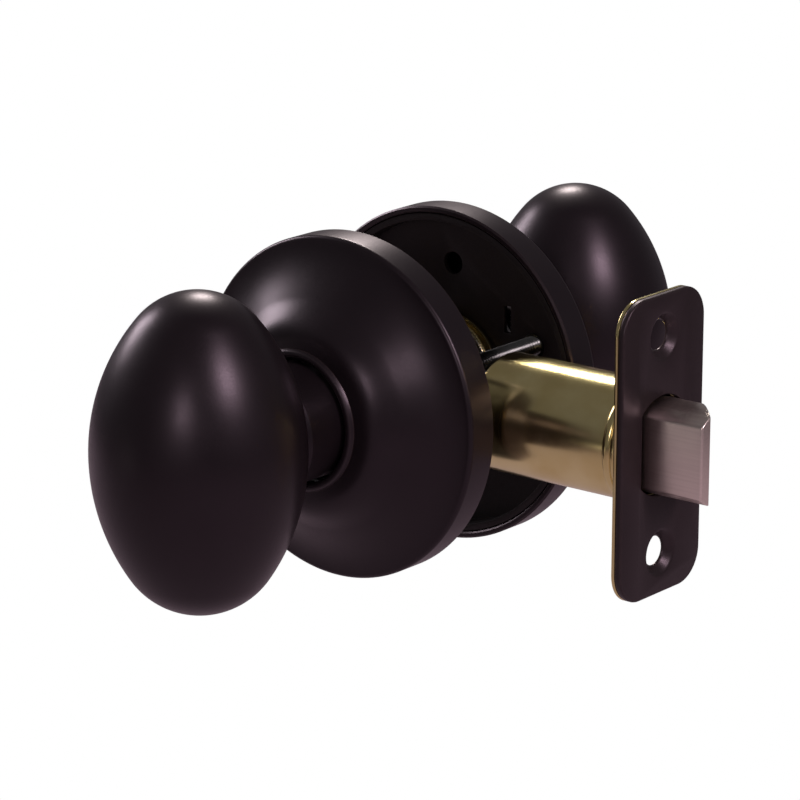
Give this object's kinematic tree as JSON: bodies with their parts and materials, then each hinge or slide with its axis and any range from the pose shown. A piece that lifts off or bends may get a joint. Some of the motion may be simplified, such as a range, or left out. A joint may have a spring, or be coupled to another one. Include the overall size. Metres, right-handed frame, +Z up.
{
  "type": "door knob set",
  "caption": "Passage door knob set: egg-shaped knobs on round roses either side of the door, joined by a spindle that draws back a sprung tubular latch bolt.",
  "frame": {"origin": "where the knob axis crosses the latch axis, in the middle of the door's thickness", "axes": "+Y along the knob axis from the inside knob to the outside knob, +X along the latch towards the bolt's tip, +Z up"},
  "size_m": [0.1084, 0.1548, 0.0666],
  "materials": {
    "bronze_knob": "dark bronze, satin",
    "bronze_rose": "dark bronze, satin",
    "bronze_plate": "dark bronze, satin",
    "dark_steel": "black phosphate",
    "yellow_zinc": "yellow zinc dichromate",
    "bright_zinc": "bright zinc plate",
    "spring_steel": "drawn spring wire",
    "satin_nickel": "satin nickel",
    "nylon": "natural nylon"
  },
  "bodies": {
    "door_set": {"outside_rose": "bronze_rose", "outside_mounting_plate": "dark_steel", "outside_bush": "nylon", "outside_return_spring": "spring_steel", "inside_rose": "bronze_rose", "inside_mounting_plate": "dark_steel", "inside_bush": "nylon", "inside_return_spring": "spring_steel", "threaded_posts": "bright_zinc", "mounting_screws": "bright_zinc", "faceplate": "bronze_plate", "back_plate": "yellow_zinc", "tube_ferrule": "yellow_zinc", "latch_tube": "yellow_zinc", "outside_tail_plate": "yellow_zinc", "inside_tail_plate": "yellow_zinc", "tail_rivets": "bright_zinc", "spring_seat": "bright_zinc", "bolt_spring": "spring_steel"},
    "knobs": {"outside_knob": "bronze_knob", "outside_neck": "bronze_knob", "outside_thrust_washer": "yellow_zinc", "outside_retaining_clip": "spring_steel", "outside_spindle_driver": "bright_zinc", "inside_knob": "bronze_knob", "inside_neck": "bronze_knob", "inside_thrust_washer": "yellow_zinc", "inside_retaining_clip": "spring_steel", "inside_spindle_driver": "bright_zinc", "spindle": "bright_zinc", "latch_hub": "bright_zinc"},
    "drawbar": {"drawbar": "bright_zinc"},
    "bolt": {"latch_bolt": "satin_nickel", "bolt_stem": "bright_zinc"}
  },
  "joints": [
    {"name": "knob_turn", "type": "hinge", "parent": "door_set", "child": "knobs", "pos_m": [0, 0, 0], "axis": [0, -1, 0], "range_deg": [0, 65], "stiffness_Nm_per_rad": 0.15, "springref_deg": -28.65, "deforming": ["outside_return_spring", "inside_return_spring"]},
    {"name": "drawbar_slide", "type": "slide", "parent": "door_set", "child": "drawbar", "axis": [-1, 0, 0], "range_m": [0, 0.0127]},
    {"name": "bolt_slide", "type": "slide", "parent": "drawbar", "child": "bolt", "axis": [-1, 0, 0], "range_m": [0, 0.0127], "stiffness_N_per_m": 300, "springref_m": -0.012, "deforming": ["bolt_spring"]}
  ],
  "couplings": [
    {"joint": "drawbar_slide", "follows": "knob_turn", "m_per_rad": 0.01119}
  ]
}
